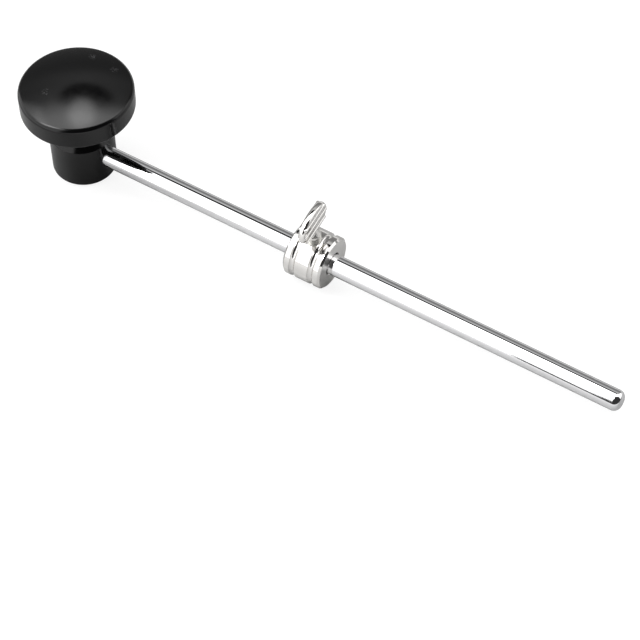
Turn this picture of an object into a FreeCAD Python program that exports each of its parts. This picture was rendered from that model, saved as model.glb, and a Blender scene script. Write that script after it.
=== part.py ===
import FreeCAD, Part
import math
import os
import Sketcher

# Bass drum beater: a round moulded head on a plain steel rod, with a counterweight that slides and
# turns on the rod and is clamped by a wing screw.
# Millimetres. The origin is the centre of the boss's rear face, +Z points to the striking face and
# +X runs along the rod. The beater lies on the plane z = 0, on the boss's rear face and the counterweight.

SIZES = {
    # Moulded head
    "disc_diameter": 43.8,
    "disc_edge_thickness": 8.9,
    "disc_top_round": 1.4,
    "disc_under_round": 0.8,
    "dome_height": 4.2,
    "dome_nose_radius": 52,
    "dome_nose_width": 8,
    "boss_diameter": 25,
    "boss_height": 32.5,
    "boss_shoulder_height": 18.6,
    "boss_shoulder_width": 2.2,
    "boss_root_round": 2,
    "boss_end_round": 1,
    # Rod
    "rod_diameter": 8,
    "rod_length": 240,
    "rod_height": 10.3,
    "rod_seat_depth": 8.3,
    "rod_tip_round": 2.8,
    "rod_seat_chamfer": 0.5,
    # Lock screw that holds the rod in the head, and its threaded insert
    "insert_diameter": 8,
    "insert_wall": 1.3,
    "insert_recess": 0.4,
    "insert_groove_width": 1.2,
    "insert_groove_depth": 0.6,
    "lock_diameter": 5,
    "lock_recess": 0.6,
    "lock_hex_size": 2.5,
    "lock_hex_depth": 2.6,
    "lock_point_diameter": 3.5,
    "lock_point_length": 0.9,
    "lock_clearance": 0.1,
    # Counterweight
    "weight_position": 104.6,
    "weight_diameter": 20.6,
    "weight_length": 15.8,
    "weight_chamfer": 0.8,
    "weight_bore_gap": 0.35,
    "weight_bore_chamfer": 0.3,
    "weight_groove_offset": 3.9,
    "weight_groove_width": 2.1,
    "weight_groove_depth": 0.9,
    # Rubber rings in the counterweight's bore
    "ring_section": 1.7,
    "ring_offset": 5.3,
    "running_gap": 0.05,
    # Clamp pad and wing screw
    "screw_lean": 4,
    "screw_diameter": 6,
    "screw_tip_chamfer": 0.6,
    "pad_diameter": 5,
    "pad_thickness": 1.6,
    "pad_chamfer": 0.3,
    "wing_turn": 3,
    "wing_width": 17.8,
    "wing_height": 12.4,
    "wing_lift": 10.3,
    "wing_end_radius": 5.6,
    "wing_thickness": 2.8,
    "wing_edge_round": 0.8,
    "neck_start": 3.3,
    "neck_length": 3.2,
    "neck_end_diameter": 2.4,
    "rib_pitch": 3.5,
    "rib_width": 1.4,
    "rib_height": 0.35,
    "rib_end_margin": 0.5,
}

doc = FreeCAD.newDocument("bass_drum_beater")
sheet = doc.addObject("Spreadsheet::Sheet", "Sizes")
for row, (alias, size) in enumerate(SIZES.items(), start=1):
    sheet.set(f"A{row}", alias)
    sheet.set(f"B{row}", str(size))
    sheet.setAlias(f"B{row}", alias)
doc.recompute()


class Size:
    """A length, with its value now and the spreadsheet expression that gives it."""

    def __init__(self, value, text):
        self.value = value
        self.text = text

    def __add__(self, other):
        other = as_size(other)
        return Size(self.value + other.value, f"({self.text} + {other.text})")

    def __sub__(self, other):
        other = as_size(other)
        return Size(self.value - other.value, f"({self.text} - {other.text})")

    def __mul__(self, other):
        other = as_size(other)
        return Size(self.value * other.value, f"({self.text} * {other.text})")

    def __truediv__(self, other):
        other = as_size(other)
        return Size(self.value / other.value, f"({self.text} / {other.text})")

    def __neg__(self):
        return Size(-self.value, f"(-{self.text})")

    def root(self):
        return Size(math.sqrt(self.value), f"sqrt({self.text})")


def as_size(number):
    return number if isinstance(number, Size) else Size(number, str(number))


def size(alias):
    return Size(SIZES[alias], f"Sizes.{alias}")


def half(alias):
    return size(alias) / 2


# Levels and radii that more than one piece shares
rod_radius = half("rod_diameter")
boss_radius = half("boss_diameter")
boss_neck_radius = boss_radius - size("boss_shoulder_width")
disc_radius = half("disc_diameter")
disc_edge_level = size("boss_height") + size("disc_edge_thickness")
insert_level = size("rod_height") - rod_radius - size("insert_wall")
lock_radius = half("lock_diameter")
dimple_floor = rod_radius - size("lock_point_length")
weight_radius = half("weight_diameter")
bore_radius = rod_radius + size("weight_bore_gap")
ring_inner_radius = rod_radius + size("running_gap")
ring_outer_radius = ring_inner_radius + size("ring_section")
screw_radius = half("screw_diameter")
pad_level = rod_radius + size("running_gap")
tip_level = pad_level + size("pad_thickness") + size("running_gap")
wing_level = weight_radius + size("wing_lift")


def bind(item, path, length):
    """Tie one property to the spreadsheet."""
    item.setExpression(path, length.text)


def new_body(label):
    body = doc.addObject("PartDesign::Body", label)
    body.Label = label
    return body


def place(body, x=None, z=None, lean=False):
    """Set a piece on the part, leaning with the wing screw where asked."""
    if lean:
        body.Placement = FreeCAD.Placement(
            FreeCAD.Vector(), FreeCAD.Rotation(FreeCAD.Vector(1, 0, 0), SIZES["screw_lean"])
        )
        bind(body, "Placement.Rotation.Angle", size("screw_lean"))
    if x is not None:
        bind(body, "Placement.Base.x", x)
    if z is not None:
        bind(body, "Placement.Base.z", z)


def place_on_weight(body):
    """The counterweight's pieces share a frame: rod axis at its middle, local +Z along the wing screw."""
    place(body, x=size("weight_position"), z=size("rod_height"), lean=True)


def new_sketch(body, name, plane, offset=None, turn=False):
    """A sketch on a plane of the body, turned about the upright axis with the wing where asked."""
    sketch = body.newObject("Sketcher::SketchObject", name)
    origin_plane = [f for f in body.Origin.OriginFeatures if f.Role == plane][0]
    sketch.AttachmentSupport = [(origin_plane, "")]
    sketch.MapMode = "FlatFace"
    if offset is not None:
        bind(sketch, "AttachmentOffset.Base.z", offset)
    if turn:
        sketch.AttachmentOffset = FreeCAD.Placement(
            FreeCAD.Vector(), FreeCAD.Rotation(FreeCAD.Vector(0, 1, 0), SIZES["wing_turn"])
        )
        bind(sketch, "AttachmentOffset.Rotation.Angle", size("wing_turn"))
    doc.recompute()
    return sketch


def dimension(sketch, kind, *target, length):
    """Add one driving dimension and tie it to the spreadsheet."""
    number = sketch.addConstraint(Sketcher.Constraint(kind, *target, length.value))
    bind(sketch, f"Constraints[{number}]", length)


def pin_point(sketch, edge, end, x, y):
    """Hold the end of an edge at x, y: on an axis where a coordinate is 0, at a dimension elsewhere."""
    for axis, kind, length in ((-2, "DistanceX", as_size(x)), (-1, "DistanceY", as_size(y))):
        if length.value == 0:
            sketch.addConstraint(Sketcher.Constraint("PointOnObject", edge, end, axis))
        else:
            dimension(sketch, kind, -1, 1, edge, end, length=length)


def vector(x, y):
    return FreeCAD.Vector(as_size(x).value, as_size(y).value, 0)


def add_outline(sketch, points):
    """A closed outline of straight edges through the points, each held by its two coordinates."""
    count = len(points)
    for number, point in enumerate(points):
        following = points[(number + 1) % count]
        sketch.addGeometry(Part.LineSegment(vector(*point), vector(*following)), False)
    for number, point in enumerate(points):
        sketch.addConstraint(Sketcher.Constraint("Coincident", number, 1, (number - 1) % count, 2))
        pin_point(sketch, number, 1, *point)


def add_circle(sketch, radius, x=0, y=0):
    circle = sketch.addGeometry(
        Part.Circle(vector(x, y), FreeCAD.Vector(0, 0, 1), radius.value), False
    )
    pin_point(sketch, circle, 3, x, y)
    dimension(sketch, "Radius", circle, length=radius)


def arc_between(centre, start, finish):
    """The counterclockwise arc about centre from start to finish."""
    from_centre = start - centre
    to_centre = finish - centre
    circle = Part.Circle(centre, FreeCAD.Vector(0, 0, 1), from_centre.Length)
    first = math.atan2(from_centre.y, from_centre.x)
    last = math.atan2(to_centre.y, to_centre.x)
    return Part.ArcOfCircle(circle, first, last if last > first else last + 2 * math.pi)


def revolve(body, sketch, axis):
    feature = body.newObject("PartDesign::Revolution", f"{sketch.Name}_revolved")
    feature.Profile = sketch
    feature.ReferenceAxis = (sketch, [axis])
    feature.Angle = 360
    doc.recompute()
    return feature


def pad(body, sketch, length, symmetric=False):
    feature = body.newObject("PartDesign::Pad", f"{sketch.Name}_pad")
    feature.Profile = sketch
    if symmetric:
        feature.SideType = "Symmetric"
    bind(feature, "Length", length)
    doc.recompute()
    return feature


def pocket(body, sketch, length=None, reverse=False):
    """Cut a pocket, through everything where no length is given, and make sure that it cut."""
    before = body.Shape.Volume
    feature = body.newObject("PartDesign::Pocket", f"{sketch.Name}_pocket")
    feature.Profile = sketch
    feature.Reversed = reverse
    if length is None:
        feature.Type = "ThroughAll"
    else:
        bind(feature, "Length", length)
    doc.recompute()
    if body.Shape.Volume >= before:
        raise RuntimeError(f"{feature.Name} cuts nothing")
    return feature


def circle_edges(feature, radius, axis, level):
    """Names of a feature's circular edges of this radius, at this level along an axis."""
    names = []
    for number, edge in enumerate(feature.Shape.Edges, start=1):
        if edge.Degenerated or not isinstance(edge.Curve, Part.Circle):
            continue
        same_radius = abs(edge.Curve.Radius - radius.value) < 1e-4
        if same_radius and abs(getattr(edge.Curve.Center, axis) - level.value) < 1e-4:
            names.append(f"Edge{number}")
    return names


def soften(body, kind, feature, edges, length):
    """Round or chamfer edges of a feature."""
    softened = body.newObject(f"PartDesign::{kind}", f"{feature.Name}_{kind.lower()}")
    softened.Base = (feature, edges)
    bind(softened, "Radius" if kind == "Fillet" else "Size", length)
    doc.recompute()
    return softened


def make_head_shell():
    """Disc and boss in one moulding: a shallow dome, and a boss that steps in to a neck under the disc."""
    body = new_body("head_shell")
    profile = new_sketch(body, "head_profile", "XZ_Plane")
    apex_level = disc_edge_level + size("dome_height")
    nose_half = half("dome_nose_width")
    corners = [
        (0, 0),
        (boss_radius, 0),
        (boss_radius, size("boss_shoulder_height")),
        (boss_neck_radius, size("boss_shoulder_height") + size("boss_shoulder_width")),
        (boss_neck_radius, size("boss_height")),
        (disc_radius, size("boss_height")),
        (disc_radius, disc_edge_level),
    ]
    for start, finish in zip(corners, corners[1:]):
        profile.addGeometry(Part.LineSegment(vector(*start), vector(*finish)), False)

    # The nose is an arc about the head's axis. The flank goes on from it, tangent, out to the edge.
    apex = vector(0, apex_level)
    edge = vector(*corners[-1])
    nose_radius = SIZES["dome_nose_radius"]
    nose_centre = apex - FreeCAD.Vector(0, nose_radius, 0)
    nose_end = nose_centre + FreeCAD.Vector(
        nose_half.value, math.sqrt(nose_radius**2 - nose_half.value**2), 0
    )
    outward = (nose_end - nose_centre).normalize()
    chord = edge - nose_end
    flank_radius = -chord.dot(chord) / (2 * chord.dot(outward))
    flank_centre = nose_end - outward * flank_radius
    flank = profile.addGeometry(arc_between(flank_centre, edge, nose_end), False)
    nose = profile.addGeometry(arc_between(nose_centre, nose_end, apex), False)
    axis = profile.addGeometry(Part.LineSegment(apex, FreeCAD.Vector()), False)

    last_line = len(corners) - 2
    for number, corner in enumerate(corners[:-1]):
        pin_point(profile, number, 1, *corner)
    for number in range(last_line):
        profile.addConstraint(Sketcher.Constraint("Coincident", number, 2, number + 1, 1))
    pin_point(profile, last_line, 2, *corners[-1])
    profile.addConstraint(Sketcher.Constraint("Coincident", last_line, 2, flank, 1))
    profile.addConstraint(Sketcher.Constraint("Tangent", flank, 2, nose, 1))
    profile.addConstraint(Sketcher.Constraint("Coincident", nose, 2, axis, 1))
    profile.addConstraint(Sketcher.Constraint("Coincident", axis, 2, 0, 1))
    pin_point(profile, axis, 1, 0, apex_level)
    profile.addConstraint(Sketcher.Constraint("PointOnObject", nose, 3, -2))
    dimension(profile, "Radius", nose, length=size("dome_nose_radius"))
    dimension(profile, "DistanceX", -1, 1, nose, 1, length=nose_half)
    moulding = revolve(body, profile, "V_Axis")

    for radius, level, rounding in (
        (disc_radius, disc_edge_level, "disc_top_round"),
        (disc_radius, size("boss_height"), "disc_under_round"),
        (boss_neck_radius, size("boss_height"), "boss_root_round"),
        (boss_radius, as_size(0), "boss_end_round"),
    ):
        edges = circle_edges(moulding, radius, "z", level)
        moulding = soften(body, "Fillet", moulding, edges, size(rounding))

    rod_seat = new_sketch(body, "rod_seat", "YZ_Plane", offset=-size("rod_seat_depth"))
    add_circle(rod_seat, rod_radius, y=size("rod_height"))
    pocket(body, rod_seat, reverse=True)
    insert_seat = new_sketch(body, "insert_seat", "XY_Plane")
    add_circle(insert_seat, half("insert_diameter"))
    pocket(body, insert_seat, insert_level, reverse=True)
    lock_way = new_sketch(body, "lock_way", "XY_Plane")
    add_circle(lock_way, lock_radius + size("lock_clearance"))
    pocket(body, lock_way, size("rod_height"), reverse=True)
    return body


def make_head_insert():
    """Threaded brass bush from the boss's rear face up to the wall under the rod, with a grip groove."""
    body = new_body("head_insert")
    profile = new_sketch(body, "insert_profile", "XZ_Plane")
    outer = half("insert_diameter")
    waist = outer - size("insert_groove_depth")
    low = size("insert_recess")
    high = insert_level
    groove_low = (low + high - size("insert_groove_width")) / 2
    groove_high = groove_low + size("insert_groove_width")
    add_outline(
        profile,
        [
            (lock_radius, low),
            (outer, low),
            (outer, groove_low),
            (waist, groove_low),
            (waist, groove_high),
            (outer, groove_high),
            (outer, high),
            (lock_radius, high),
        ],
    )
    revolve(body, profile, "V_Axis")
    return body


def make_lock_screw():
    """Socket set screw whose dog point seats in the rod's dimple."""
    body = new_body("lock_screw")
    profile = new_sketch(body, "lock_profile", "XZ_Plane")
    low = size("lock_recess")
    shoulder = size("rod_height") - rod_radius - size("lock_clearance")
    point_radius = half("lock_point_diameter")
    point_level = size("rod_height") - dimple_floor - size("lock_clearance")
    add_outline(
        profile,
        [
            (0, low),
            (lock_radius, low),
            (lock_radius, shoulder),
            (point_radius, shoulder),
            (point_radius, point_level),
            (0, point_level),
        ],
    )
    revolve(body, profile, "V_Axis")
    socket = body.newObject("PartDesign::SubtractivePrism", "lock_socket")
    socket.Polygon = 6
    bind(socket, "Circumradius", size("lock_hex_size") / Size(3, "3").root())
    bind(socket, "Height", low + size("lock_hex_depth"))
    doc.recompute()
    return body


def make_rod():
    """Plain round rod with a rounded free end and a dimple for the lock screw's point."""
    body = new_body("rod")
    section = new_sketch(body, "rod_section", "YZ_Plane")
    add_circle(section, rod_radius)
    bar = pad(body, section, size("rod_length"))
    tip = circle_edges(bar, rod_radius, "x", size("rod_length"))
    bar = soften(body, "Fillet", bar, tip, size("rod_tip_round"))
    seat_end = circle_edges(bar, rod_radius, "x", as_size(0))
    soften(body, "Chamfer", bar, seat_end, size("rod_seat_chamfer"))
    dimple = new_sketch(body, "lock_dimple", "XY_Plane", offset=-dimple_floor)
    add_circle(dimple, half("lock_point_diameter") + size("lock_clearance"), x=size("rod_seat_depth"))
    pocket(body, dimple)
    place(body, x=-size("rod_seat_depth"), z=size("rod_height"))
    return body


def make_counterweight():
    """Turned collar with two outer grooves, two ring grooves in its bore and a threaded cross hole."""
    body = new_body("counterweight")
    profile = new_sketch(body, "weight_profile", "XZ_Plane")
    end = half("weight_length")
    chamfer = size("weight_chamfer")
    bore_chamfer = size("weight_bore_chamfer")
    groove_floor = weight_radius - size("weight_groove_depth")
    ring_floor = ring_outer_radius + size("running_gap")
    ring_groove_half = half("ring_section") + size("running_gap")

    def notch(middle, half_width, rim, floor):
        """Four corners of a square groove, in the direction of increasing x."""
        return [
            (middle - half_width, rim),
            (middle - half_width, floor),
            (middle + half_width, floor),
            (middle + half_width, rim),
        ]

    groove_half = half("weight_groove_width")
    outside = [
        (-end, bore_radius + bore_chamfer),
        (-end, weight_radius - chamfer),
        (chamfer - end, weight_radius),
        *notch(-size("weight_groove_offset"), groove_half, weight_radius, groove_floor),
        *notch(size("weight_groove_offset"), groove_half, weight_radius, groove_floor),
        (end - chamfer, weight_radius),
        (end, weight_radius - chamfer),
        (end, bore_radius + bore_chamfer),
    ]
    inside = [
        (bore_chamfer - end, bore_radius),
        *notch(-size("ring_offset"), ring_groove_half, bore_radius, ring_floor),
        *notch(size("ring_offset"), ring_groove_half, bore_radius, ring_floor),
        (end - bore_chamfer, bore_radius),
    ]
    add_outline(profile, outside + inside[::-1])
    revolve(body, profile, "H_Axis")
    screw_hole = new_sketch(body, "screw_hole", "XY_Plane")
    add_circle(screw_hole, screw_radius + size("running_gap"))
    pocket(body, screw_hole, reverse=True)
    place_on_weight(body)
    return body


def make_friction_rings():
    """Two rubber rings that centre the counterweight on the rod and keep it from rattling."""
    rings = []
    for name, offset in (("head_side_ring", -size("ring_offset")), ("free_side_ring", size("ring_offset"))):
        ring = doc.addObject("Part::Torus", name)
        bind(ring, "Radius1", ring_inner_radius + half("ring_section"))
        bind(ring, "Radius2", half("ring_section"))
        across = FreeCAD.Rotation(FreeCAD.Vector(0, 1, 0), 90)
        ring.Placement = FreeCAD.Placement(FreeCAD.Vector(), across)
        place(ring, x=size("weight_position") + offset, z=size("rod_height"))
        rings.append(ring)
    pair = doc.addObject("Part::Compound", "friction_rings")
    pair.Label = "friction_rings"
    pair.Links = rings
    doc.recompute()
    return pair


def make_clamp_pad():
    """Plastic slug between the wing screw's tip and the rod."""
    body = new_body("clamp_pad")
    section = new_sketch(body, "pad_section", "XY_Plane", offset=pad_level)
    add_circle(section, half("pad_diameter"))
    slug = pad(body, section, size("pad_thickness"))
    rims = circle_edges(slug, half("pad_diameter"), "z", pad_level)
    soften(body, "Chamfer", slug, rims, size("pad_chamfer"))
    place_on_weight(body)
    return body


def add_oval(sketch, level):
    """An oval of four tangent arcs about the screw's axis: two ends, and two flatter sides."""
    end_radius = size("wing_end_radius")
    end_centre = half("wing_width") - end_radius
    rise = half("wing_height") - end_radius
    drop = (end_centre * end_centre - rise * rise) / (rise * 2)

    def meeting(middle, away):
        """Where an end arc runs into a side arc."""
        return middle + (middle - away).normalize() * end_radius.value

    ends = []
    sides = []
    for sign in (1, -1):
        centre = vector(end_centre * sign, level)
        opposite = vector(end_centre * -sign, level)
        side_centre = vector(0, level - drop * sign)
        other_side = vector(0, level + drop * sign)
        ends.append(arc_between(centre, meeting(centre, other_side), meeting(centre, side_centre)))
        sides.append(arc_between(side_centre, meeting(centre, side_centre), meeting(opposite, side_centre)))
    arcs = [ends[0], sides[0], ends[1], sides[1]]
    names = [sketch.addGeometry(arc, False) for arc in arcs]
    for number, name in enumerate(names):
        sketch.addConstraint(Sketcher.Constraint("Tangent", name, 2, names[(number + 1) % 4], 1))
    for name, centre_x in ((names[0], end_centre), (names[2], -end_centre)):
        pin_point(sketch, name, 3, centre_x, level)
        dimension(sketch, "Radius", name, length=end_radius)
    for name in (names[1], names[3]):
        dimension(sketch, "Radius", name, length=half("wing_height") + drop)


def wing_reach(height):
    """Half the oval's width at a height above or below its middle, within its end arcs."""
    end_radius = size("wing_end_radius")
    end_centre = half("wing_width") - end_radius
    return end_centre + (end_radius * end_radius - height * height).root()


def make_wing_screw():
    """Forged thumb screw: a ribbed oval wing that runs down through a tapered neck into the shank."""
    body = new_body("wing_screw")
    outline = new_sketch(body, "wing_outline", "YZ_Plane", turn=True)
    add_oval(outline, wing_level)
    wing = pad(body, outline, size("wing_thickness"), symmetric=True)
    turn = math.radians(SIZES["wing_turn"])
    through = FreeCAD.Vector(math.cos(turn), math.sin(turn), 0)
    rim = []
    for number, edge in enumerate(wing.Shape.Edges, start=1):
        depths = [vertex.Point.dot(through) for vertex in edge.Vertexes]
        if max(depths) - min(depths) < 1e-4:
            rim.append(f"Edge{number}")
    soften(body, "Fillet", wing, rim, size("wing_edge_round"))

    shank = new_sketch(body, "shank_profile", "XZ_Plane")
    tip_chamfer = size("screw_tip_chamfer")
    neck_level = weight_radius + size("neck_start")
    neck_top = neck_level + size("neck_length")
    add_outline(
        shank,
        [
            (0, tip_level),
            (screw_radius - tip_chamfer, tip_level),
            (screw_radius, tip_level + tip_chamfer),
            (screw_radius, neck_level),
            (half("neck_end_diameter"), neck_top),
            (0, neck_top),
        ],
    )
    revolve(body, shank, "V_Axis")

    rib_end = half("wing_thickness") + size("rib_height")
    rib_half = half("rib_width")
    for name, height in (
        ("upper_rib", size("rib_pitch")),
        ("middle_rib", as_size(0)),
        ("lower_rib", -size("rib_pitch")),
    ):
        section = new_sketch(body, f"{name}_section", "XZ_Plane", turn=True)
        add_bar_section(section, rib_end - rib_half, rib_half, wing_level + height)
        pad(body, section, (wing_reach(height) - size("rib_end_margin")) * 2, symmetric=True)
    place_on_weight(body)
    return body


def add_bar_section(sketch, reach, radius, level):
    """A bar's section right through the wing, with a half round end on each face."""
    right = vector(reach, level)
    left = vector(-reach, level)
    up = FreeCAD.Vector(0, radius.value, 0)
    edges = [
        arc_between(right, right - up, right + up),
        Part.LineSegment(right + up, left + up),
        arc_between(left, left + up, left - up),
        Part.LineSegment(left - up, right - up),
    ]
    names = [sketch.addGeometry(edge, False) for edge in edges]
    for number, name in enumerate(names):
        sketch.addConstraint(Sketcher.Constraint("Tangent", name, 2, names[(number + 1) % 4], 1))
    pin_point(sketch, names[0], 3, reach, level)
    pin_point(sketch, names[2], 3, -reach, level)
    for name in (names[0], names[2]):
        dimension(sketch, "Radius", name, length=radius)


pieces = [
    make_head_shell(),
    make_head_insert(),
    make_lock_screw(),
    make_rod(),
    make_counterweight(),
    make_friction_rings(),
    make_clamp_pad(),
    make_wing_screw(),
]
doc.recompute()

for item in doc.Objects:
    if "Invalid" in item.State or "Error" in item.State:
        raise RuntimeError(f"{item.Name} failed: {item.State}")
for piece in pieces:
    if piece.Shape.isNull() or not piece.Shape.isValid():
        raise RuntimeError(f"{piece.Label} has no valid shape")

os.makedirs("parts", exist_ok=True)
for piece in pieces:
    piece.Shape.exportStep(f"parts/{piece.Label}.step")
    box = piece.Shape.BoundBox
    print(
        f"{piece.Label}: {len(piece.Shape.Solids)} solid, {piece.Shape.Volume:.1f} mm3,"
        f" x {box.XMin:.2f} to {box.XMax:.2f}, y {box.YMin:.2f} to {box.YMax:.2f},"
        f" z {box.ZMin:.2f} to {box.ZMax:.2f}"
    )
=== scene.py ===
import math

import bmesh
import bpy
import numpy as np
from mathutils import Matrix, Vector


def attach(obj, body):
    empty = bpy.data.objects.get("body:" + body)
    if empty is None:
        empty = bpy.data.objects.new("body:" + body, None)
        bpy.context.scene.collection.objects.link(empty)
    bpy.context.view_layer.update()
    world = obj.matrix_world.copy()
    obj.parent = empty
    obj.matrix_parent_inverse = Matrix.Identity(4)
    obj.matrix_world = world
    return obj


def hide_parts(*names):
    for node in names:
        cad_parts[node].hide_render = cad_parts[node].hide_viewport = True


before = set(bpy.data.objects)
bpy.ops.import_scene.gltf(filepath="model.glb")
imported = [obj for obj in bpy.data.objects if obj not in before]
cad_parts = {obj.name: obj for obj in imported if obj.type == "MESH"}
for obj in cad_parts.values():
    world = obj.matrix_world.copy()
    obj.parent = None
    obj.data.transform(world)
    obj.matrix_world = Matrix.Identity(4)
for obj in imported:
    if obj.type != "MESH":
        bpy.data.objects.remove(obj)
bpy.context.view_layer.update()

# Sizes in millimetres, in the part's frame: the origin is the centre of the boss's rear face, +Z points
# to the striking face and +X runs along the rod.
MM = 0.001

# Head. The disc is a hair smaller than the CAD's, whose flat facets it would otherwise pass.
DISC_RADIUS = 21.89
DISC_UNDERSIDE = 32.5
DISC_EDGE = 41.4
DISC_TOP_ROUND = 2.1
DISC_UNDER_ROUND = 0.8
DOME_HEIGHT = 4.2
DOME_NOSE_RADIUS = 52.0
DOME_NOSE_HALF_WIDTH = 4.0
DOME_SCUFFS = ((-2.8, 15.2, 43.6), (7.9, 14.1, 43.3), (-6.8, -9.3, 44.5))
SCUFF_RADIUS = 1.9
BOSS_RADIUS = 12.5
SHOULDER_LEVEL = 18.6
SHOULDER_WIDTH = 2.2
SHOULDER_EDGE_BREAK = 0.12
BOSS_ROOT_ROUND = 2.0
BOSS_END_ROUND = 1.0
SEAT_EDGE_BREAK = 0.2

# Rod
ROD_RADIUS = 4.0
ROD_START = -8.3
ROD_END = 231.7
ROD_HEIGHT = 10.3
ROD_TIP_ROUND = 2.8
ROD_SEAT_CHAMFER = 0.5
ROD_EDGE_BREAK = 0.05

# Insert and lock screw in the boss
INSERT_RADIUS = 4.0
INSERT_LOW = 0.4
INSERT_HIGH = 5.0
INSERT_EDGE_BREAK = 0.25
LOCK_RADIUS = 2.5
LOCK_CLEARANCE = 0.1
LOCK_LOW = 0.6
LOCK_END_CHAMFER = 0.35
LOCK_SHOULDER = 6.2
LOCK_SHOULDER_SLOPE = 0.3
LOCK_POINT_RADIUS = 1.75
LOCK_POINT_LEVEL = 7.1
LOCK_POINT_CHAMFER = 0.2
LOCK_HEX_APOTHEM = 1.25
LOCK_HEX_DEPTH = 2.6
LOCK_HEX_DRILL_CONE = 0.5
LOCK_MOUTH_DEPTH = 0.12
LOCK_MOUTH_APOTHEMS = 1.1

# Counterweight
WEIGHT_POSITION = 104.6
WEIGHT_RADIUS = 10.3
WEIGHT_HALF_LENGTH = 7.9
WEIGHT_CHAMFER = 0.8
WEIGHT_EDGE_BREAK = 0.1
WEIGHT_GROOVE_OFFSET = 3.9
WEIGHT_GROOVE_HALF_WIDTH = 1.15
WEIGHT_GROOVE_DEPTH = 0.8
BORE_RADIUS = 4.35
BORE_CHAMFER = 0.3
RING_OFFSET = 5.3
RING_GROOVE_HALF_WIDTH = 0.9
RING_GROOVE_RADIUS = 5.8

# Wing screw. Levels are measured along it from the rod's axis.
SCREW_LEAN = 4.0
SCREW_RADIUS = 3.0
SCREW_HOLE_RADIUS = 3.05
SCREW_HOLE_START = 1.0
SCREW_HOLE_END = WEIGHT_RADIUS + 2.0
SCREW_PITCH = 1.0
SCREW_TIP_LEVEL = 5.7
THREAD_DEPTH = 0.4
THREAD_LEAD_IN = 1.0
THREAD_RUN_OUT = 1.0
NECK_LEVEL = 13.6
NECK_TOP_LEVEL = 16.8
NECK_TOP_RADIUS = 1.2
NECK_FOOT_DEPTH = 0.6
NECK_FOOT_INSET = 0.35
NECK_RIM_DROP = 0.1
NECK_RIM_INSET = 0.05
NECK_RIM_RISE = 0.2
NECK_RIM_TOP_INSET = 0.1
WING_TURN = 3.0
WING_LEVEL = 20.6
WING_HALF_WIDTH = 8.9
WING_HALF_HEIGHT = 6.2
WING_END_RADIUS = 5.6
WING_HALF_THICKNESS = 1.4
WING_EDGE_ROUND = 1.2
RIB_PITCH = 3.5
RIB_RADIUS = 0.7
RIB_HEIGHT = 0.42
RIB_END_MARGIN = 0.5

# The wing screw's frame: origin on the rod's axis, local +Z along the screw
SCREW_FRAME = Matrix.Translation((WEIGHT_POSITION, 0, ROD_HEIGHT)) @ Matrix.Rotation(
    math.radians(SCREW_LEAN), 4, "X"
)
# Turns a piece made about Z so that it lies along the rod
ALONG_ROD = Matrix.Rotation(math.radians(90), 4, "Y")

# Fineness of the meshes: points round a turned piece, the turn between the points of a rounded corner,
# and the distance of the extra point beside such a corner
AROUND = 384
ARC_STEP = math.radians(6)
ARC_HOLD = 0.04


def circle(radius, count=AROUND):
    """Points of a circle about the origin, as x and y columns. The radius may change round it."""
    angles = np.linspace(0, 2 * np.pi, count, endpoint=False)
    radii = np.broadcast_to(radius, angles.shape)
    return np.column_stack([radii * np.cos(angles), radii * np.sin(angles)])


def ring(x, y, z):
    """Points from three columns. A column may be one number, and three numbers make one point."""
    return np.column_stack(np.broadcast_arrays(*np.atleast_1d(x, y, z)))


def rounded(corners, closed=False):
    """A profile through (along, radius, rounding) corners, with arcs where a corner is rounded.
    A point close to each end of an arc keeps the shading of the straight stretch beside it even."""
    points = []
    count = len(corners)
    for number, (along, radius, rounding) in enumerate(corners):
        corner = Vector((along, radius))
        if not rounding or (not closed and number in (0, count - 1)):
            points.append(corner)
            continue
        to_last = (Vector(corners[number - 1][:2]) - corner).normalized()
        to_next = (Vector(corners[(number + 1) % count][:2]) - corner).normalized()
        half_angle = to_last.angle(to_next) / 2
        reach = rounding / math.tan(half_angle)
        centre = corner + (to_last + to_next).normalized() * rounding / math.sin(half_angle)
        start = corner + to_last * reach - centre
        turn = math.pi - 2 * half_angle
        steps = max(2, math.ceil(turn / ARC_STEP))
        sign = 1 if start.cross(corner + to_next * reach - centre) > 0 else -1
        points.append(corner + to_last * (reach + ARC_HOLD))
        for step in range(steps + 1):
            points.append(centre + Matrix.Rotation(sign * turn * step / steps, 2) @ start)
        points.append(corner + to_next * (reach + ARC_HOLD))
    return points


def add_object(name, data):
    """An object of the scene with this mesh, camera or lamp."""
    thing = bpy.data.objects.new(name, data)
    bpy.context.scene.collection.objects.link(thing)
    return thing


def place_mesh(mesh, place):
    """Move a mesh by a matrix whose shifts are in millimetres."""
    mesh.transform(Matrix.Scale(MM, 4) @ place @ Matrix.Scale(1 / MM, 4))


def skin(name, rings, closed=False, place=Matrix()):
    """A mesh through rings of points. A ring of one point closes an end."""
    verts = np.concatenate(rings)
    starts = np.cumsum([0] + [len(points) for points in rings])
    pairs = list(zip(range(len(rings)), range(1, len(rings))))
    if closed:
        pairs.append((len(rings) - 1, 0))
    faces = []
    for first, second in pairs:
        a, b = starts[first], starts[second]
        size_a, size_b = len(rings[first]), len(rings[second])
        count = max(size_a, size_b)
        for i in range(count):
            j = (i + 1) % count
            corners = [a + i % size_a, a + j % size_a, b + j % size_b, b + i % size_b]
            faces.append(list(dict.fromkeys(corners)))
    mesh = bpy.data.meshes.new(name)
    mesh.from_pydata((verts * MM).tolist(), [], faces)
    place_mesh(mesh, place)
    editor = bmesh.new()
    editor.from_mesh(mesh)
    bmesh.ops.recalc_face_normals(editor, faces=editor.faces)
    editor.to_mesh(mesh)
    editor.free()
    return add_object(name, mesh)


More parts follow.
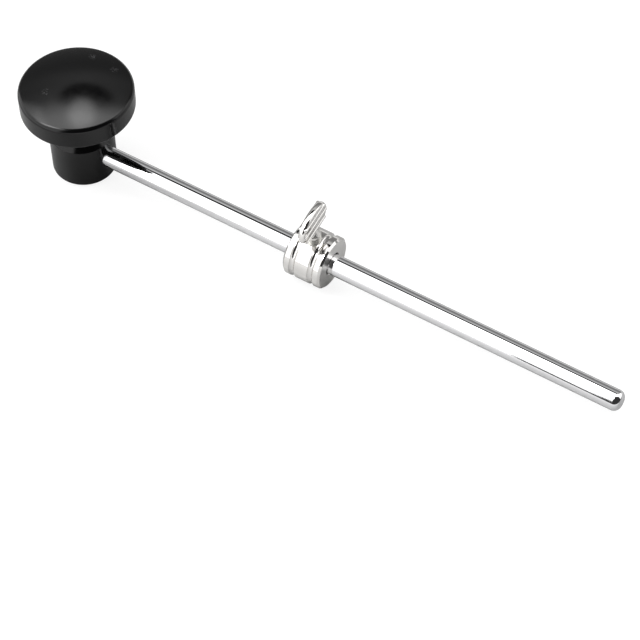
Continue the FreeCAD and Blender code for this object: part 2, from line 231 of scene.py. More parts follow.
def lathe(name, profile, place=Matrix(), closed=False):
    """A turned piece: a profile of (along, radius) points about the local Z axis."""
    rings = []
    for along, radius in profile:
        rings.append(ring(*circle(radius).T, along) if radius > 0 else ring(0, 0, along))
    return skin(name, rings, closed, place)


def shade(piece, angle=30):
    """Smooth shading, with edges sharper than the angle kept."""
    piece.data.shade_smooth()
    piece.data.set_sharp_from_angle(angle=math.radians(angle))


def apply_modifiers(piece):
    """Give a piece the mesh that its modifiers make."""
    depsgraph = bpy.context.evaluated_depsgraph_get()
    mesh = bpy.data.meshes.new_from_object(piece.evaluated_get(depsgraph))
    piece.modifiers.clear()
    piece.data = mesh


def seat(piece, body, slot, material, *nodes):
    """Give a piece its material, and let it ride on a body in place of CAD nodes."""
    piece.data.materials.clear()
    piece.data.materials.append(material)
    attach(piece, body)
    if nodes:
        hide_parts(*nodes)


class NodeGraph:
    """Short calls for the nodes that the finishes, the floor and the room share."""

    def __init__(self, tree):
        self.nodes = tree.nodes
        self.links = tree.links

    def add(self, kind, **settings):
        """A new node with these settings."""
        node = self.nodes.new(kind)
        for name, value in settings.items():
            setattr(node, name, value)
        return node

    def join(self, value, socket):
        """Link an output to a socket, or set the socket to a plain value."""
        if isinstance(value, bpy.types.NodeSocket):
            self.links.new(value, socket)
        else:
            socket.default_value = value

    def feed(self, node, **inputs):
        """Join values to a node's inputs by name, with _ for a space."""
        for name, value in inputs.items():
            self.join(value, node.inputs[name.replace("_", " ")])
        return node

    def feed_in_order(self, node, *values):
        """Join values to a node's inputs in their order."""
        for value, socket in zip(values, node.inputs):
            self.join(value, socket)
        return node

    def math(self, operation, *values):
        """The result of a sum with numbers."""
        node = self.add("ShaderNodeMath", operation=operation)
        return self.feed_in_order(node, *values).outputs[0]

    def vector_math(self, operation, *values):
        """The outputs of a sum with vectors: Vector, or Value for a length or a product."""
        node = self.add("ShaderNodeVectorMath", operation=operation)
        return self.feed_in_order(node, *values).outputs

    def remap(self, value, low, high, to_low=0, to_high=1, clamp=True):
        """A value between low and high, turned into one between to_low and to_high."""
        node = self.add("ShaderNodeMapRange", clamp=clamp)
        self.feed(node, Value=value, From_Min=low, From_Max=high, To_Min=to_low, To_Max=to_high)
        return node.outputs["Result"]

    def split(self, vector):
        """The X, Y and Z outputs of a vector."""
        return self.feed_in_order(self.add("ShaderNodeSeparateXYZ"), vector).outputs

    def mix_shaders(self, share, first, second):
        """A mix with this share of the second shader."""
        node = self.add("ShaderNodeMixShader")
        return self.feed_in_order(node, share, first.outputs[0], second.outputs[0])


class Material(NodeGraph):
    """A finish: the Principled shader, and the textures that make it uneven."""

    # Most values of a noise lie between these two
    NOISE_LOW = 0.3
    NOISE_HIGH = 0.7

    def __init__(self, name, color, metallic=0.0, ior=1.5):
        self.material = bpy.data.materials.new(name)
        self.material.use_nodes = True
        super().__init__(self.material.node_tree)
        self.shader = self.nodes["Principled BSDF"]
        self.feed(self.shader, Base_Color=(*color, 1), Metallic=metallic, IOR=ior)
        self.place = self.add("ShaderNodeTexCoord").outputs["Object"]

    def noise(self, cells, detail=3.0, place=None):
        """Noise with about this number of cells in a metre."""
        node = self.add("ShaderNodeTexNoise")
        self.feed(node, Vector=place or self.place, Scale=cells, Detail=detail)
        return node.outputs["Fac"]

    def streaks(self, x, y, z, detail):
        """Noise with its own number of cells in a metre along each axis."""
        stretched = self.feed(self.add("ShaderNodeMapping"), Vector=self.place, Scale=(x, y, z))
        return self.noise(1.0, detail, stretched.outputs["Vector"])

    def distance(self, point):
        """How far the place is from a point in millimetres, as a value in metres."""
        return self.vector_math("DISTANCE", self.place, Vector(point) * MM)["Value"]

    def along_rod(self):
        """The place along the rod."""
        return self.split(self.place)["X"]

    def around_rod(self):
        """The place along the rod and the distance from its axis, for marks that a lathe leaves."""
        from_axis = self.vector_math("SUBTRACT", self.place, (0, 0, ROD_HEIGHT * MM))["Vector"]
        across = self.vector_math("MULTIPLY", from_axis, (0, 1, 1))["Vector"]
        distance = self.vector_math("LENGTH", across)["Value"]
        return self.feed(self.add("ShaderNodeCombineXYZ"), X=self.along_rod(), Y=distance).outputs[0]

    def rough(self, value, low, high, clamp=True):
        """Roughness between low and high, following a noise, or beyond them if it isn't clamped."""
        roughness = self.remap(value, self.NOISE_LOW, self.NOISE_HIGH, low, high, clamp)
        self.feed(self.shader, Roughness=roughness)

    def tint(self, value, low, high):
        """Base colour between two colours, following a value from 0 to 1."""
        node = self.add("ShaderNodeMix", data_type="RGBA")
        self.feed(node, Factor=value)
        node.inputs[6].default_value = (*low, 1)
        node.inputs[7].default_value = (*high, 1)
        self.feed(self.shader, Base_Color=node.outputs[2])

    def bump(self, height, depth):
        """Relief of up to this depth in millimetres."""
        node = self.add("ShaderNodeBump")
        self.feed(node, Height=height, Distance=depth * MM, Strength=1.0)
        self.feed(self.shader, Normal=node.outputs["Normal"])


def black_plastic():
    """Glossy moulded plastic with a faint ripple, and three small scuffs on the dome."""
    black = (0.0016, 0.0016, 0.0017)
    scuffed = (0.09, 0.09, 0.092)
    finish = Material("head_black", black, ior=1.42)
    specks = finish.remap(finish.noise(cells=1900, detail=2), low=0.54, high=0.62)
    marks = 0.0
    for spot in DOME_SCUFFS:
        patch = finish.remap(finish.distance(spot), low=SCUFF_RADIUS * MM, high=0)
        marks = finish.math("MAXIMUM", marks, finish.math("MULTIPLY", patch, specks))
    finish.tint(marks, black, scuffed)
    wear = finish.math("MULTIPLY", marks, 0.4)
    finish.rough(finish.math("ADD", finish.noise(cells=400), wear), low=0.15, high=0.19)
    finish.bump(finish.noise(cells=260, detail=2), depth=0.002)
    return finish.material


def rod_chrome():
    """Bright plating over a ground rod: fine marks round the rod, and a slight waviness along it."""
    finish = Material("rod_chrome", (0.8, 0.8, 0.81), metallic=1)
    ground = finish.streaks(x=5200, y=350, z=350, detail=4)
    finish.rough(ground, low=0.045, high=0.085)
    finish.tint(finish.noise(cells=120), low=(0.78, 0.78, 0.79), high=(0.83, 0.83, 0.84))
    waves = finish.noise(cells=60, detail=1)
    finish.bump(finish.math("ADD", waves, finish.math("MULTIPLY", ground, 0.1)), depth=0.0006)
    return finish.material


def turned_chrome():
    """Plating over turned steel: rings that the tool left, coarser on the two end faces, which are duller.
    Their colour is also painted paler: painted light, for a brighter reflection there."""
    finish = Material("weight_chrome", (0.78, 0.765, 0.745), metallic=1)
    rings = finish.noise(cells=3600, detail=2, place=finish.around_rod())
    offset = finish.math("SUBTRACT", finish.along_rod(), WEIGHT_POSITION * MM)
    face_starts = (WEIGHT_HALF_LENGTH - 0.1) * MM
    face_is_full = (WEIGHT_HALF_LENGTH - 0.02) * MM
    end_face = finish.remap(finish.math("ABSOLUTE", offset), face_starts, face_is_full)
    dullness = finish.math("MULTIPLY", end_face, 1.8)
    finish.rough(finish.math("ADD", rings, dullness), low=0.05, high=0.11, clamp=False)
    clouds = finish.remap(finish.noise(cells=240), low=0, high=1, to_low=0, to_high=0.4)
    # The clouds are random tone; the paler end faces are painted light, for a brighter reflection there
    tone_and_painted_end_light = finish.math("ADD", clouds, end_face)
    finish.tint(tone_and_painted_end_light, low=(0.76, 0.745, 0.725), high=(0.89, 0.88, 0.86))
    coarseness = finish.remap(end_face, low=0, high=1, to_low=1, to_high=6)
    finish.bump(finish.math("MULTIPLY", rings, coarseness), depth=0.0007)
    return finish.material


def forged_chrome():
    """Plating over a tumbled forging: softly uneven."""
    finish = Material("wing_chrome", (0.79, 0.775, 0.755), metallic=1)
    finish.rough(finish.noise(cells=1500), low=0.07, high=0.13)
    finish.tint(finish.noise(cells=500), low=(0.77, 0.755, 0.735), high=(0.82, 0.805, 0.785))
    finish.bump(finish.noise(cells=700, detail=2), depth=0.012)
    return finish.material


def turned_brass():
    """Brass with the marks of a tool round it."""
    finish = Material("insert_brass", (0.72, 0.53, 0.24), metallic=1)
    marks = finish.streaks(x=900, y=900, z=5000, detail=3)
    finish.rough(marks, low=0.2, high=0.34)
    finish.tint(finish.noise(cells=500), low=(0.66, 0.47, 0.2), high=(0.76, 0.58, 0.29))
    finish.bump(marks, depth=0.006)
    return finish.material


def grainy(name, color, metallic, cells, rough, dark, pale, depth):
    """A finish in which one grain carries the roughness, the colour and the relief."""
    finish = Material(name, color, metallic)
    grain = finish.noise(cells)
    finish.rough(grain, *rough)
    finish.tint(grain, dark, pale)
    finish.bump(grain, depth)
    return finish.material


def rolled_zinc():
    """Satin plating on the rolled thread."""
    return grainy(
        "screw_zinc",
        color=(0.72, 0.71, 0.67),
        metallic=1,
        cells=1600,
        rough=(0.42, 0.54),
        dark=(0.68, 0.67, 0.62),
        pale=(0.76, 0.75, 0.71),
        depth=0.004,
    )


def black_oxide():
    """Dull black steel."""
    return grainy(
        "lock_steel",
        color=(0.06, 0.06, 0.065),
        metallic=1,
        cells=2200,
        rough=(0.32, 0.5),
        dark=(0.045, 0.045, 0.05),
        pale=(0.085, 0.085, 0.09),
        depth=0.006,
    )


def ring_rubber():
    """Matte black rubber."""
    return grainy(
        "ring_rubber",
        color=(0.02, 0.02, 0.02),
        metallic=0,
        cells=3000,
        rough=(0.55, 0.75),
        dark=(0.016, 0.016, 0.016),
        pale=(0.028, 0.028, 0.028),
        depth=0.01,
    )


def pad_plastic():
    """Matte pale plastic."""
    return grainy(
        "pad_plastic",
        color=(0.8, 0.79, 0.74),
        metallic=0,
        cells=1800,
        rough=(0.4, 0.55),
        dark=(0.77, 0.76, 0.71),
        pale=(0.83, 0.82, 0.77),
        depth=0.008,
    )


def dome_profile():
    """The domed face from the edge to the apex: a flank arc, then the nose arc tangent to it."""
    apex = DISC_EDGE + DOME_HEIGHT
    edge = Vector((DISC_EDGE, DISC_RADIUS))
    nose_centre = Vector((apex - DOME_NOSE_RADIUS, 0))
    nose_angle = math.asin(DOME_NOSE_HALF_WIDTH / DOME_NOSE_RADIUS)
    outward = Vector((math.cos(nose_angle), math.sin(nose_angle)))
    nose_end = nose_centre + outward * DOME_NOSE_RADIUS
    chord = edge - nose_end
    flank_radius = -chord.dot(chord) / (2 * chord.dot(outward))
    flank_centre = nose_end - outward * flank_radius
    edge_angle = (edge - flank_centre).angle(Vector((1, 0)))

    def arc(centre, radius, angles):
        points = [centre + Vector((math.cos(angle), math.sin(angle))) * radius for angle in angles]
        return [(point.x, point.y, 0) for point in points]

    # Shares of each arc's turn: the flank starts where the rounding of the disc's edge has ended
    flank_shares = np.linspace(0.12, 1, 22)
    nose_shares = np.linspace(0.1, 0.98, 9)
    flank = arc(flank_centre, flank_radius, edge_angle + (nose_angle - edge_angle) * flank_shares)
    nose = arc(nose_centre, DOME_NOSE_RADIUS, nose_angle * (1 - nose_shares))
    return [*flank, *nose, (apex, 0, 0)]


def make_head():
    """The moulded disc and boss, with the insert's seat in the rear face."""
    neck_radius = BOSS_RADIUS - SHOULDER_WIDTH
    profile = rounded(
        [
            (LOCK_SHOULDER, 0, 0),
            (LOCK_SHOULDER, LOCK_RADIUS + LOCK_CLEARANCE, 0),
            (INSERT_HIGH, LOCK_RADIUS + LOCK_CLEARANCE, 0),
            (INSERT_HIGH, INSERT_RADIUS, 0),
            (0, INSERT_RADIUS, SEAT_EDGE_BREAK),
            (0, BOSS_RADIUS, BOSS_END_ROUND),
            (SHOULDER_LEVEL, BOSS_RADIUS, SHOULDER_EDGE_BREAK),
            (SHOULDER_LEVEL + SHOULDER_WIDTH, neck_radius, SHOULDER_EDGE_BREAK),
            (DISC_UNDERSIDE, neck_radius, BOSS_ROOT_ROUND),
            (DISC_UNDERSIDE, DISC_RADIUS, DISC_UNDER_ROUND),
            (DISC_EDGE, DISC_RADIUS, DISC_TOP_ROUND),
            *dome_profile(),
        ]
    )
    head = lathe("moulded_head", profile)
    shade(head)
    seat(head, "beater", "head_black", black_plastic(), "head_shell")


def make_rod():
    """The rod, chamfered where it is pressed into the boss and rounded at its free end."""
    profile = rounded(
        [
            (ROD_START, 0, 0),
            (ROD_START, ROD_RADIUS - ROD_SEAT_CHAMFER, ROD_EDGE_BREAK),
            (ROD_START + ROD_SEAT_CHAMFER, ROD_RADIUS, ROD_EDGE_BREAK),
            (ROD_END, ROD_RADIUS, ROD_TIP_ROUND),
            (ROD_END, 0, 0),
        ]
    )
    rod = lathe("polished_rod", profile, Matrix.Translation((0, 0, ROD_HEIGHT)) @ ALONG_ROD)
    shade(rod)
    seat(rod, "beater", "rod_chrome", rod_chrome(), "rod")


def make_insert():
    """The bush in the boss's rear face."""
    profile = rounded(
        [
            (INSERT_LOW, LOCK_RADIUS, INSERT_EDGE_BREAK),
            (INSERT_LOW, INSERT_RADIUS, INSERT_EDGE_BREAK),
            (INSERT_HIGH, INSERT_RADIUS, INSERT_EDGE_BREAK),
            (INSERT_HIGH, LOCK_RADIUS, INSERT_EDGE_BREAK),
        ],
        closed=True,
    )
    insert = lathe("threaded_insert", profile, closed=True)
    shade(insert)
    seat(insert, "beater", "insert_brass", turned_brass(), "head_insert")


def make_lock_screw():
    """Set screw with a hexagon socket in its outer end and a dog point at its inner end."""
    angles = np.linspace(0, 2 * np.pi, AROUND, endpoint=False)
    flat = np.radians(60)
    hexagon = LOCK_HEX_APOTHEM / np.cos((angles + flat / 2) % flat - flat / 2)
    mouth = np.maximum(hexagon, LOCK_HEX_APOTHEM * LOCK_MOUTH_APOTHEMS)
    socket_floor = LOCK_LOW + LOCK_HEX_DEPTH
    stations = [
        (hexagon, socket_floor),
        (hexagon, LOCK_LOW + LOCK_MOUTH_DEPTH),
        (mouth, LOCK_LOW),
        (LOCK_RADIUS - LOCK_END_CHAMFER, LOCK_LOW),
        (LOCK_RADIUS, LOCK_LOW + LOCK_END_CHAMFER),
        (LOCK_RADIUS, LOCK_SHOULDER - LOCK_SHOULDER_SLOPE),
        (LOCK_POINT_RADIUS, LOCK_SHOULDER),
        (LOCK_POINT_RADIUS, LOCK_POINT_LEVEL - LOCK_POINT_CHAMFER),
        (LOCK_POINT_RADIUS - LOCK_POINT_CHAMFER, LOCK_POINT_LEVEL),
    ]
    rings = [ring(0, 0, socket_floor + LOCK_HEX_DRILL_CONE)]
    rings += [ring(*circle(radius).T, level) for radius, level in stations]
    rings.append(ring(0, 0, LOCK_POINT_LEVEL))
    screw = skin("lock_set_screw", rings)
    shade(screw, angle=25)
    seat(screw, "beater", "lock_steel", black_oxide(), "lock_screw")


def round_groove(middle):
    """A groove round the counterweight, turned with a round tool, whose edges are broken."""
    reach = WEIGHT_GROOVE_HALF_WIDTH
    radius = (reach**2 + WEIGHT_GROOVE_DEPTH**2) / (2 * WEIGHT_GROOVE_DEPTH)
    edge_angle = math.asin(reach / radius)
    arc_points = 25
    groove = [(middle - reach, WEIGHT_RADIUS, WEIGHT_EDGE_BREAK)]
    for angle in np.linspace(-edge_angle, edge_angle, arc_points)[1:-1]:
        rise = radius * (1 - math.cos(angle))
        groove.append((middle + radius * math.sin(angle), WEIGHT_RADIUS - WEIGHT_GROOVE_DEPTH + rise, 0))
    return [*groove, (middle + reach, WEIGHT_RADIUS, WEIGHT_EDGE_BREAK)]


def ring_groove(middle):
    """A square groove in the counterweight's bore, in which a rubber ring sits."""
    return [
        (middle - RING_GROOVE_HALF_WIDTH, BORE_RADIUS, 0),
        (middle - RING_GROOVE_HALF_WIDTH, RING_GROOVE_RADIUS, 0),
        (middle + RING_GROOVE_HALF_WIDTH, RING_GROOVE_RADIUS, 0),
        (middle + RING_GROOVE_HALF_WIDTH, BORE_RADIUS, 0),
    ]


def drill_screw_hole(weight):
    """Cut the wing screw's hole into the counterweight's side."""
    drill = lathe(
        "screw_drill",
        [
            (SCREW_HOLE_START, 0),
            (SCREW_HOLE_START, SCREW_HOLE_RADIUS),
            (SCREW_HOLE_END, SCREW_HOLE_RADIUS),
            (SCREW_HOLE_END, 0),
        ],
        SCREW_FRAME,
    )
    hole = weight.modifiers.new("screw_hole", "BOOLEAN")
    hole.object = drill
    hole.operation = "DIFFERENCE"
    hole.solver = "EXACT"
    apply_modifiers(weight)
    bpy.data.objects.remove(drill)


def make_counterweight():
    """Turned collar: two grooves round it, ring grooves in its bore, and the wing screw's hole."""
    end = WEIGHT_HALF_LENGTH
    rim = WEIGHT_EDGE_BREAK
    outside = [
        (-end, BORE_RADIUS + BORE_CHAMFER, rim),
        (-end, WEIGHT_RADIUS - WEIGHT_CHAMFER, rim),
        (WEIGHT_CHAMFER - end, WEIGHT_RADIUS, rim),
        *round_groove(-WEIGHT_GROOVE_OFFSET),
        *round_groove(WEIGHT_GROOVE_OFFSET),
        (end - WEIGHT_CHAMFER, WEIGHT_RADIUS, rim),
        (end, WEIGHT_RADIUS - WEIGHT_CHAMFER, rim),
        (end, BORE_RADIUS + BORE_CHAMFER, rim),
    ]
    inside = [
        (BORE_CHAMFER - end, BORE_RADIUS, rim),
        *ring_groove(-RING_OFFSET),
        *ring_groove(RING_OFFSET),
        (end - BORE_CHAMFER, BORE_RADIUS, rim),
    ]
    profile = rounded(outside + inside[::-1], closed=True)
    place = Matrix.Translation((WEIGHT_POSITION, 0, ROD_HEIGHT)) @ ALONG_ROD
    weight = lathe("turned_counterweight", profile, place, closed=True)
    drill_screw_hole(weight)
    shade(weight)
    seat(weight, "counterweight", "weight_chrome", turned_chrome(), "counterweight")


def oval(inset):
    """The wing's outline, drawn in: two round ends and two flatter sides, as y and z columns."""
    rise = WING_HALF_HEIGHT - WING_END_RADIUS
    end_centre = WING_HALF_WIDTH - WING_END_RADIUS
    drop = (end_centre**2 - rise**2) / (2 * rise)
    side_radius = WING_HALF_HEIGHT + drop
    split = math.atan2(drop, end_centre)
    arc_points = 40
    points = []
    for middle, start, finish, radius in (
        ((end_centre, 0), -split, split, WING_END_RADIUS),
        ((0, -drop), split, math.pi - split, side_radius),
        ((-end_centre, 0), math.pi - split, math.pi + split, WING_END_RADIUS),
        ((0, drop), math.pi + split, 2 * math.pi - split, side_radius),
    ):
        reach = radius - inset
        for angle in np.linspace(start, finish, arc_points, endpoint=False):
            points.append((middle[0] + reach * math.cos(angle), middle[1] + reach * math.sin(angle)))
    return np.array(points)


def make_wing_blank():
    """The oval plate with its rounded edge."""
    face_inset = WING_EDGE_ROUND + 2.0
    edge_points = 10
    flat = WING_HALF_THICKNESS - WING_EDGE_ROUND
    stations = [(face_inset, WING_HALF_THICKNESS)]
    for angle in np.radians(np.linspace(0, 90, edge_points)):
        inset = WING_EDGE_ROUND * (1 - math.sin(angle))
        stations.append((inset, flat + WING_EDGE_ROUND * math.cos(angle)))
    stations += [(inset, -thick) for inset, thick in reversed(stations)]
    rings = [ring(WING_HALF_THICKNESS, 0, WING_LEVEL)]
    for inset, thick in stations:
        across, up = oval(inset).T
        rings.append(ring(thick, across, up + WING_LEVEL))
    rings.append(ring(-WING_HALF_THICKNESS, 0, WING_LEVEL))
    return skin("wing_blank", rings)


def make_rib(height):
    """A bar through the wing, half round on each face, with domed ends."""
    oval_reach = WING_HALF_WIDTH - WING_END_RADIUS + math.sqrt(WING_END_RADIUS**2 - height**2)
    reach = oval_reach - RIB_END_MARGIN
    level = WING_LEVEL + height
    thick = WING_HALF_THICKNESS + RIB_HEIGHT - RIB_RADIUS
    x, z = circle(RIB_RADIUS, count=32).T
    x = x + np.where(x >= 0, thick, -thick)
    # How far out each ring of a domed end lies, and its share of the full section
    dome = [(-1, 0.55), (-0.985, 0.85), (-0.95, 1)]
    stations = dome + [(-along, share) for along, share in reversed(dome)]
    rings = [ring(0, -reach, level)]
    rings += [ring(x * share, along * reach, level + z * share) for along, share in stations]
    rings.append(ring(0, reach, level))
    return skin("wing_rib", rings)


def make_neck():
    """The taper under the wing. Its foot is sunk in the top of the thread."""
    foot = NECK_LEVEL - NECK_FOOT_DEPTH
    return lathe(
        "wing_neck",
        [
            (foot, 0),
            (foot, SCREW_RADIUS - NECK_FOOT_INSET),
            (NECK_LEVEL - NECK_RIM_DROP, SCREW_RADIUS - NECK_RIM_INSET),
            (NECK_LEVEL + NECK_RIM_RISE, SCREW_RADIUS - NECK_RIM_TOP_INSET),
            (NECK_TOP_LEVEL, NECK_TOP_RADIUS),
            (NECK_TOP_LEVEL, 0),
        ],
    )


def make_wing():
    """The ribbed wing and its neck as one forging: the pieces are joined, remeshed and softened."""
    blanks = [make_wing_blank(), make_neck()]
    blanks += [make_rib(height) for height in (RIB_PITCH, 0, -RIB_PITCH)]
    joined = bmesh.new()
    for blank in blanks:
        joined.from_mesh(blank.data)
        bpy.data.objects.remove(blank)
    mesh = bpy.data.meshes.new("forged_wing")
    joined.to_mesh(mesh)
    joined.free()
    wing = add_object("forged_wing", mesh)
    remesh = wing.modifiers.new("remesh", "REMESH")
    remesh.mode = "VOXEL"
    remesh.voxel_size = 0.1 * MM
    soften = wing.modifiers.new("soften", "SMOOTH")
    soften.factor = 0.5
    soften.iterations = 4
    apply_modifiers(wing)
    place_mesh(wing.data, SCREW_FRAME @ Matrix.Rotation(math.radians(WING_TURN), 4, "Z"))
    wing.data.shade_smooth()
    seat(wing, "wing_screw", "wing_chrome", forged_chrome(), "wing_screw")


def make_thread():
    """The wing screw's threaded shank: a tube whose radius follows the thread round and along."""
    facets = 72
    rings_per_turn = 16
    flank_slope = 3.0
    crest = 0.25
    taper_slope = 0.5
    angles = np.linspace(0, 2 * np.pi, facets, endpoint=False)
    levels = np.arange(SCREW_TIP_LEVEL, NECK_LEVEL + THREAD_RUN_OUT, SCREW_PITCH / rings_per_turn)
    rings = [ring(0, 0, SCREW_TIP_LEVEL)]
    for level in levels:
        phase = (level / SCREW_PITCH - angles / (2 * np.pi)) % 1
        flank = np.clip(np.abs(phase - 0.5) * flank_slope - crest, 0, 1)
        lead_in = np.clip(SCREW_TIP_LEVEL + THREAD_LEAD_IN - level, 0, 1) * THREAD_DEPTH
        taper = max(0, level - NECK_LEVEL) * taper_slope
        radius = SCREW_RADIUS - taper - np.maximum(flank * THREAD_DEPTH, lead_in)
        rings.append(ring(*circle(radius, facets).T, level))
    rings.append(ring(0, 0, levels[-1]))
    thread = skin("screw_thread", rings, place=SCREW_FRAME)
    shade(thread, angle=50)
    seat(thread, "wing_screw", "wing_chrome", rolled_zinc())


def dress_hidden_nodes():
    """The rings and the pad sit inside the counterweight and keep their own solids."""
    for node, material in (("friction_rings", ring_rubber()), ("clamp_pad", pad_plastic())):
        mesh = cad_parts[node].data
        mesh.materials.clear()
        mesh.materials.append(material)


make_head()
make_rod()
make_insert()
make_lock_screw()
make_counterweight()
make_wing()
make_thread()
dress_hidden_nodes()


# Camera, fitted to the photo's outlines. Its picture is shifted by half a pixel of the photo.
CAMERA_AZIMUTH = math.radians(31.513)
CAMERA_ELEVATION = math.radians(53.283)
CAMERA_EYE = Vector((366.6, -423.1, 637.1)) * MM
CAMERA_LENS = 121.68
CAMERA_SENSOR = 36
PHOTO_PIXELS = 640
CAMERA_SHIFT = 0.5 / PHOTO_PIXELS

# Directions for the camera, the room and the lamps: up, and level to the camera's right and away from it
UP = Vector((0, 0, 1))
RIGHT = Vector((math.cos(CAMERA_AZIMUTH), math.sin(CAMERA_AZIMUTH), 0))
AWAY = Vector((-math.sin(CAMERA_AZIMUTH), math.cos(CAMERA_AZIMUTH), 0))

WHITE = (1, 1, 1, 1)


def aimed(place, across, backward):
    """The matrix of a camera or a lamp at a place, from the directions of its right and its back."""
    turn = Matrix((across, backward.cross(across), backward)).transposed()
    return Matrix.Translation(place) @ turn.to_4x4()


def make_camera():
    """The camera that took the photo."""
    data = bpy.data.cameras.new("camera")
    data.lens = CAMERA_LENS
    data.sensor_width = CAMERA_SENSOR
    data.shift_x = -CAMERA_SHIFT
    data.shift_y = CAMERA_SHIFT
    camera = add_object("camera", data)
    backward = UP * math.sin(CAMERA_ELEVATION) - AWAY * math.cos(CAMERA_ELEVATION)
    camera.matrix_world = aimed(CAMERA_EYE, RIGHT, backward)
    bpy.context.scene.camera = camera


# The floor, in metres. In reflections it turns from grey to white over a range of distances from the rod's
# line, and in front of the rod, from past the head on, sooner, over a range of powers of ten. This grey near
# the beater is painted shade, standing in for the beater's shadow on the floor.
FLOOR_MIDDLE = Vector((0.1, 0, -0.0003))
FLOOR_HALF_SIDE = 3
FLOOR_GREY = 0.36
FLOOR_ROUGHNESS = 0.35
FLOOR_GLOW = 0.85
FLOOR_SHADOWED = 0.2
FLOOR_FADE = (0.06, 0.35)
FLOOR_FRONT_FADE_POWERS = (-2.25, -0.6)
FLOOR_PAST_HEAD = (0.03, 0.07)
FLOOR_LEAST_DISTANCE = 0.0001


def floor_material():
    """White to the camera apart from the soft shadow, and in its reflections painted grey near the beater as
    painted shade.
    """
    material = bpy.data.materials.new("floor_paper")
    material.use_nodes = True
    graph = NodeGraph(material.node_tree)
    graph.nodes.clear()

    paper = graph.add("ShaderNodeBsdfPrincipled")
    graph.feed(paper, Base_Color=(FLOOR_GREY, FLOOR_GREY, FLOOR_GREY, 1), Roughness=FLOOR_ROUGHNESS)
    glow = graph.feed(graph.add("ShaderNodeEmission"), Strength=FLOOR_GLOW)
    pale = graph.add("ShaderNodeBsdfDiffuse")
    graph.feed(pale, Color=(FLOOR_SHADOWED, FLOOR_SHADOWED, FLOOR_SHADOWED, 1))
    bright = graph.feed_in_order(graph.add("ShaderNodeAddShader"), glow.outputs[0], pale.outputs[0])

    place = graph.split(graph.add("ShaderNodeNewGeometry").outputs["Position"])
    # Painted shade in reflections: grey near the beater, turning white with the distance from the rod's line
    far = graph.remap(graph.math("ABSOLUTE", place["Y"]), *FLOOR_FADE)
    in_front = graph.math("MAXIMUM", graph.math("MULTIPLY", place["Y"], -1), FLOOR_LEAST_DISTANCE)
    front_fade = graph.remap(graph.math("LOGARITHM", in_front, 10), *FLOOR_FRONT_FADE_POWERS)
    past_head = graph.remap(place["X"], *FLOOR_PAST_HEAD)
    painted_white_share = graph.math("MAXIMUM", far, graph.math("MULTIPLY", front_fade, past_head))

    path = graph.add("ShaderNodeLightPath").outputs
    straight = graph.math("MAXIMUM", path["Is Camera Ray"], path["Is Transmission Ray"])
    seen = graph.math("MULTIPLY_ADD", path["Is Glossy Ray"], painted_white_share, straight)
    choose = graph.mix_shaders(seen, paper, bright)
    graph.feed(graph.add("ShaderNodeOutputMaterial"), Surface=choose.outputs[0])
    return material


def make_floor():
    """A wide square under the beater."""
    square = ((-1, -1), (1, -1), (1, 1), (-1, 1))
    corners = [FLOOR_MIDDLE + Vector((x, y, 0)) * FLOOR_HALF_SIDE for x, y in square]
    mesh = bpy.data.meshes.new("floor")
    mesh.from_pydata(corners, [], [(0, 1, 2, 3)])
    mesh.materials.append(floor_material())
    floor = add_object("floor", mesh)


class Room(NodeGraph):
    """The light of the room, drawn on a ceiling one unit up. Places on it are to the right, and away from
    the camera."""

    def __init__(self, tree):
        super().__init__(tree)
        self.nodes.clear()
        self.direction = self.add("ShaderNodeTexCoord").outputs["Generated"]
        self.upward = self.part_along(UP)
        self.away = self.part_along(AWAY)
        least_rise = 0.001
        level = self.math("MAXIMUM", self.upward, least_rise)
        self.ceiling_right = self.math("DIVIDE", self.part_along(RIGHT), level)
        self.ceiling_away = self.math("DIVIDE", self.away, level)

    def part_along(self, axis):
        """How much of the direction points along an axis."""
        return self.vector_math("DOT_PRODUCT", self.direction, axis)["Value"]

    def between(self, value, low, high, low_soft, high_soft):
        """1 between two places and 0 outside them, with soft edges."""
        rise = self.remap(value, low - low_soft / 2, low + low_soft / 2)
        fall = self.remap(value, high - high_soft / 2, high + high_soft / 2, to_low=1, to_high=0)
        return self.math("MULTIPLY", rise, fall)

    def panel(self, left, right, front, rear, soft, grey):
        """A rectangle of light with soft edges, the front one less soft."""
        front_soft = 0.1
        sides = self.between(self.ceiling_right, left, right, soft, soft)
        ends = self.between(self.ceiling_away, front, rear, front_soft, soft)
        return self.math("MULTIPLY", self.math("MULTIPLY", sides, ends), grey)

    def oval_patch(self, right, away, half_width, half_length, soft, grey=1):
        """An oval that fades out to 0 at its edge, over a share of its radius."""
        across = self.math("DIVIDE", self.math("SUBTRACT", self.ceiling_right, right), half_width)
        along = self.math("DIVIDE", self.math("SUBTRACT", self.ceiling_away, away), half_length)
        square = self.math("ADD", self.math("MULTIPLY", across, across), self.math("MULTIPLY", along, along))
        patch = self.remap(self.math("SQRT", square), 1 - soft, 1, to_low=1, to_high=0)
        return self.math("MULTIPLY", patch, grey)

    def backdrop(self, tones):
        """Greys at degrees up from the horizon behind, over the top, to the horizon in front."""
        height = self.math("ARCTAN2", self.upward, self.away)
        ramp = self.feed(self.add("ShaderNodeValToRGB"), Fac=self.math("DIVIDE", height, math.pi))
        elements = ramp.color_ramp.elements
        while len(elements) < len(tones):
            elements.new(0.5)
        for element, (degrees, grey) in zip(elements, tones):
            element.position = degrees / 180
            element.color = (grey, grey, grey, 1)
        return ramp.outputs["Color"]


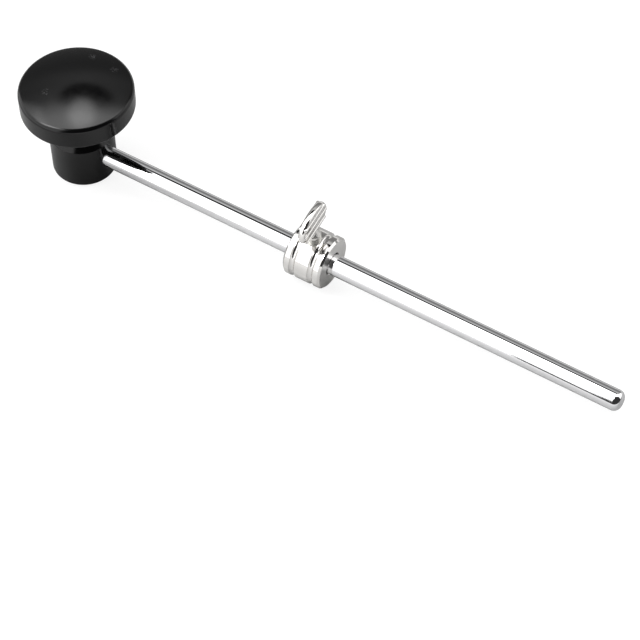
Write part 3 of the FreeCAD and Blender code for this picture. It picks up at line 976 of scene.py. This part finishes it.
def make_world():
    """Soft light overhead with a bright core and a dark patch behind it, light from the front left, and a
    grey backdrop. The camera itself sees white."""
    world = bpy.data.worlds.new("studio")
    bpy.context.scene.world = world
    world.use_nodes = True
    room = Room(world.node_tree)

    wide = room.panel(left=-0.68, right=0.64, front=-0.08, rear=0.83, soft=1.29, grey=1.35)
    top = room.panel(left=-0.74, right=1.0, front=-0.08, rear=0.366, soft=0.3, grey=2.45)
    front_left = room.panel(left=-1.2, right=-0.3, front=-0.5, rear=-0.08, soft=0.12, grey=2.8)
    core = room.oval_patch(right=-0.01, away=0.255, half_width=0.2, half_length=0.29, soft=0.5, grey=3.4)
    edge_light = room.oval_patch(
        right=-0.6, away=-0.2, half_width=0.35, half_length=0.22, soft=0.5, grey=5.5
    )
    dark_patch = room.oval_patch(right=0.02, away=0.57, half_width=0.38, half_length=0.32, soft=0.2)
    tones = [(0, 0.4), (10, 0.24), (26, 0.22), (38, 0.32), (49, 0.1), (62, 0.04), (180, 0.04)]

    behind = room.math("ADD", room.backdrop(tones), wide)
    behind = room.math("MULTIPLY", behind, room.math("SUBTRACT", 1, dark_patch))
    front = room.math("ADD", front_left, edge_light)
    total = room.math("ADD", room.math("ADD", behind, front), room.math("ADD", top, core))
    studio = room.feed(room.add("ShaderNodeBackground"), Color=WHITE, Strength=total)
    white = room.feed(room.add("ShaderNodeBackground"), Color=WHITE)
    path = room.add("ShaderNodeLightPath").outputs
    straight = room.math("MAXIMUM", path["Is Camera Ray"], path["Is Transmission Ray"])
    choose = room.mix_shaders(straight, studio, white)
    room.feed(room.add("ShaderNodeOutputWorld"), Surface=choose.outputs[0])


def stand_softbox(name, start, finish, low, high, radiance):
    """A rectangular softbox over a line on the floor, from a low to a high edge. It faces to the left of
    the way from the start to the finish."""
    along = finish - start
    inward = UP.cross(along)
    data = bpy.data.lights.new(name, "AREA")
    data.shape = "RECTANGLE"
    data.size = along.length
    data.size_y = high - low
    data.energy = radiance * math.pi * along.length * (high - low)
    lamp = add_object(name, data)
    middle = (start + finish) / 2 + UP * ((low + high) / 2)
    lamp.matrix_world = aimed(middle, along.normalized(), -inward.normalized())


def make_lamps():
    """A softbox on the left, over a narrower one that reaches the floor, and a softbox on the right."""
    left_end = Vector((-0.9, 0.1, 0))
    foot = 0.17
    stand_softbox("softbox_left", left_end, Vector((0.08, -0.72, 0)), low=foot, high=1.3, radiance=1.5)
    stand_softbox("softbox_left_foot", left_end, Vector((0.03, -0.678, 0)), low=0, high=foot, radiance=1.5)
    right_end = Vector((0.9, 0.2, 0))
    stand_softbox("softbox_right", right_end, Vector((0.5, 0.75, 0)), low=0.12, high=0.75, radiance=1.3)


make_camera()
make_floor()
make_world()
make_lamps()
bpy.context.scene.view_settings.view_transform = "Standard"
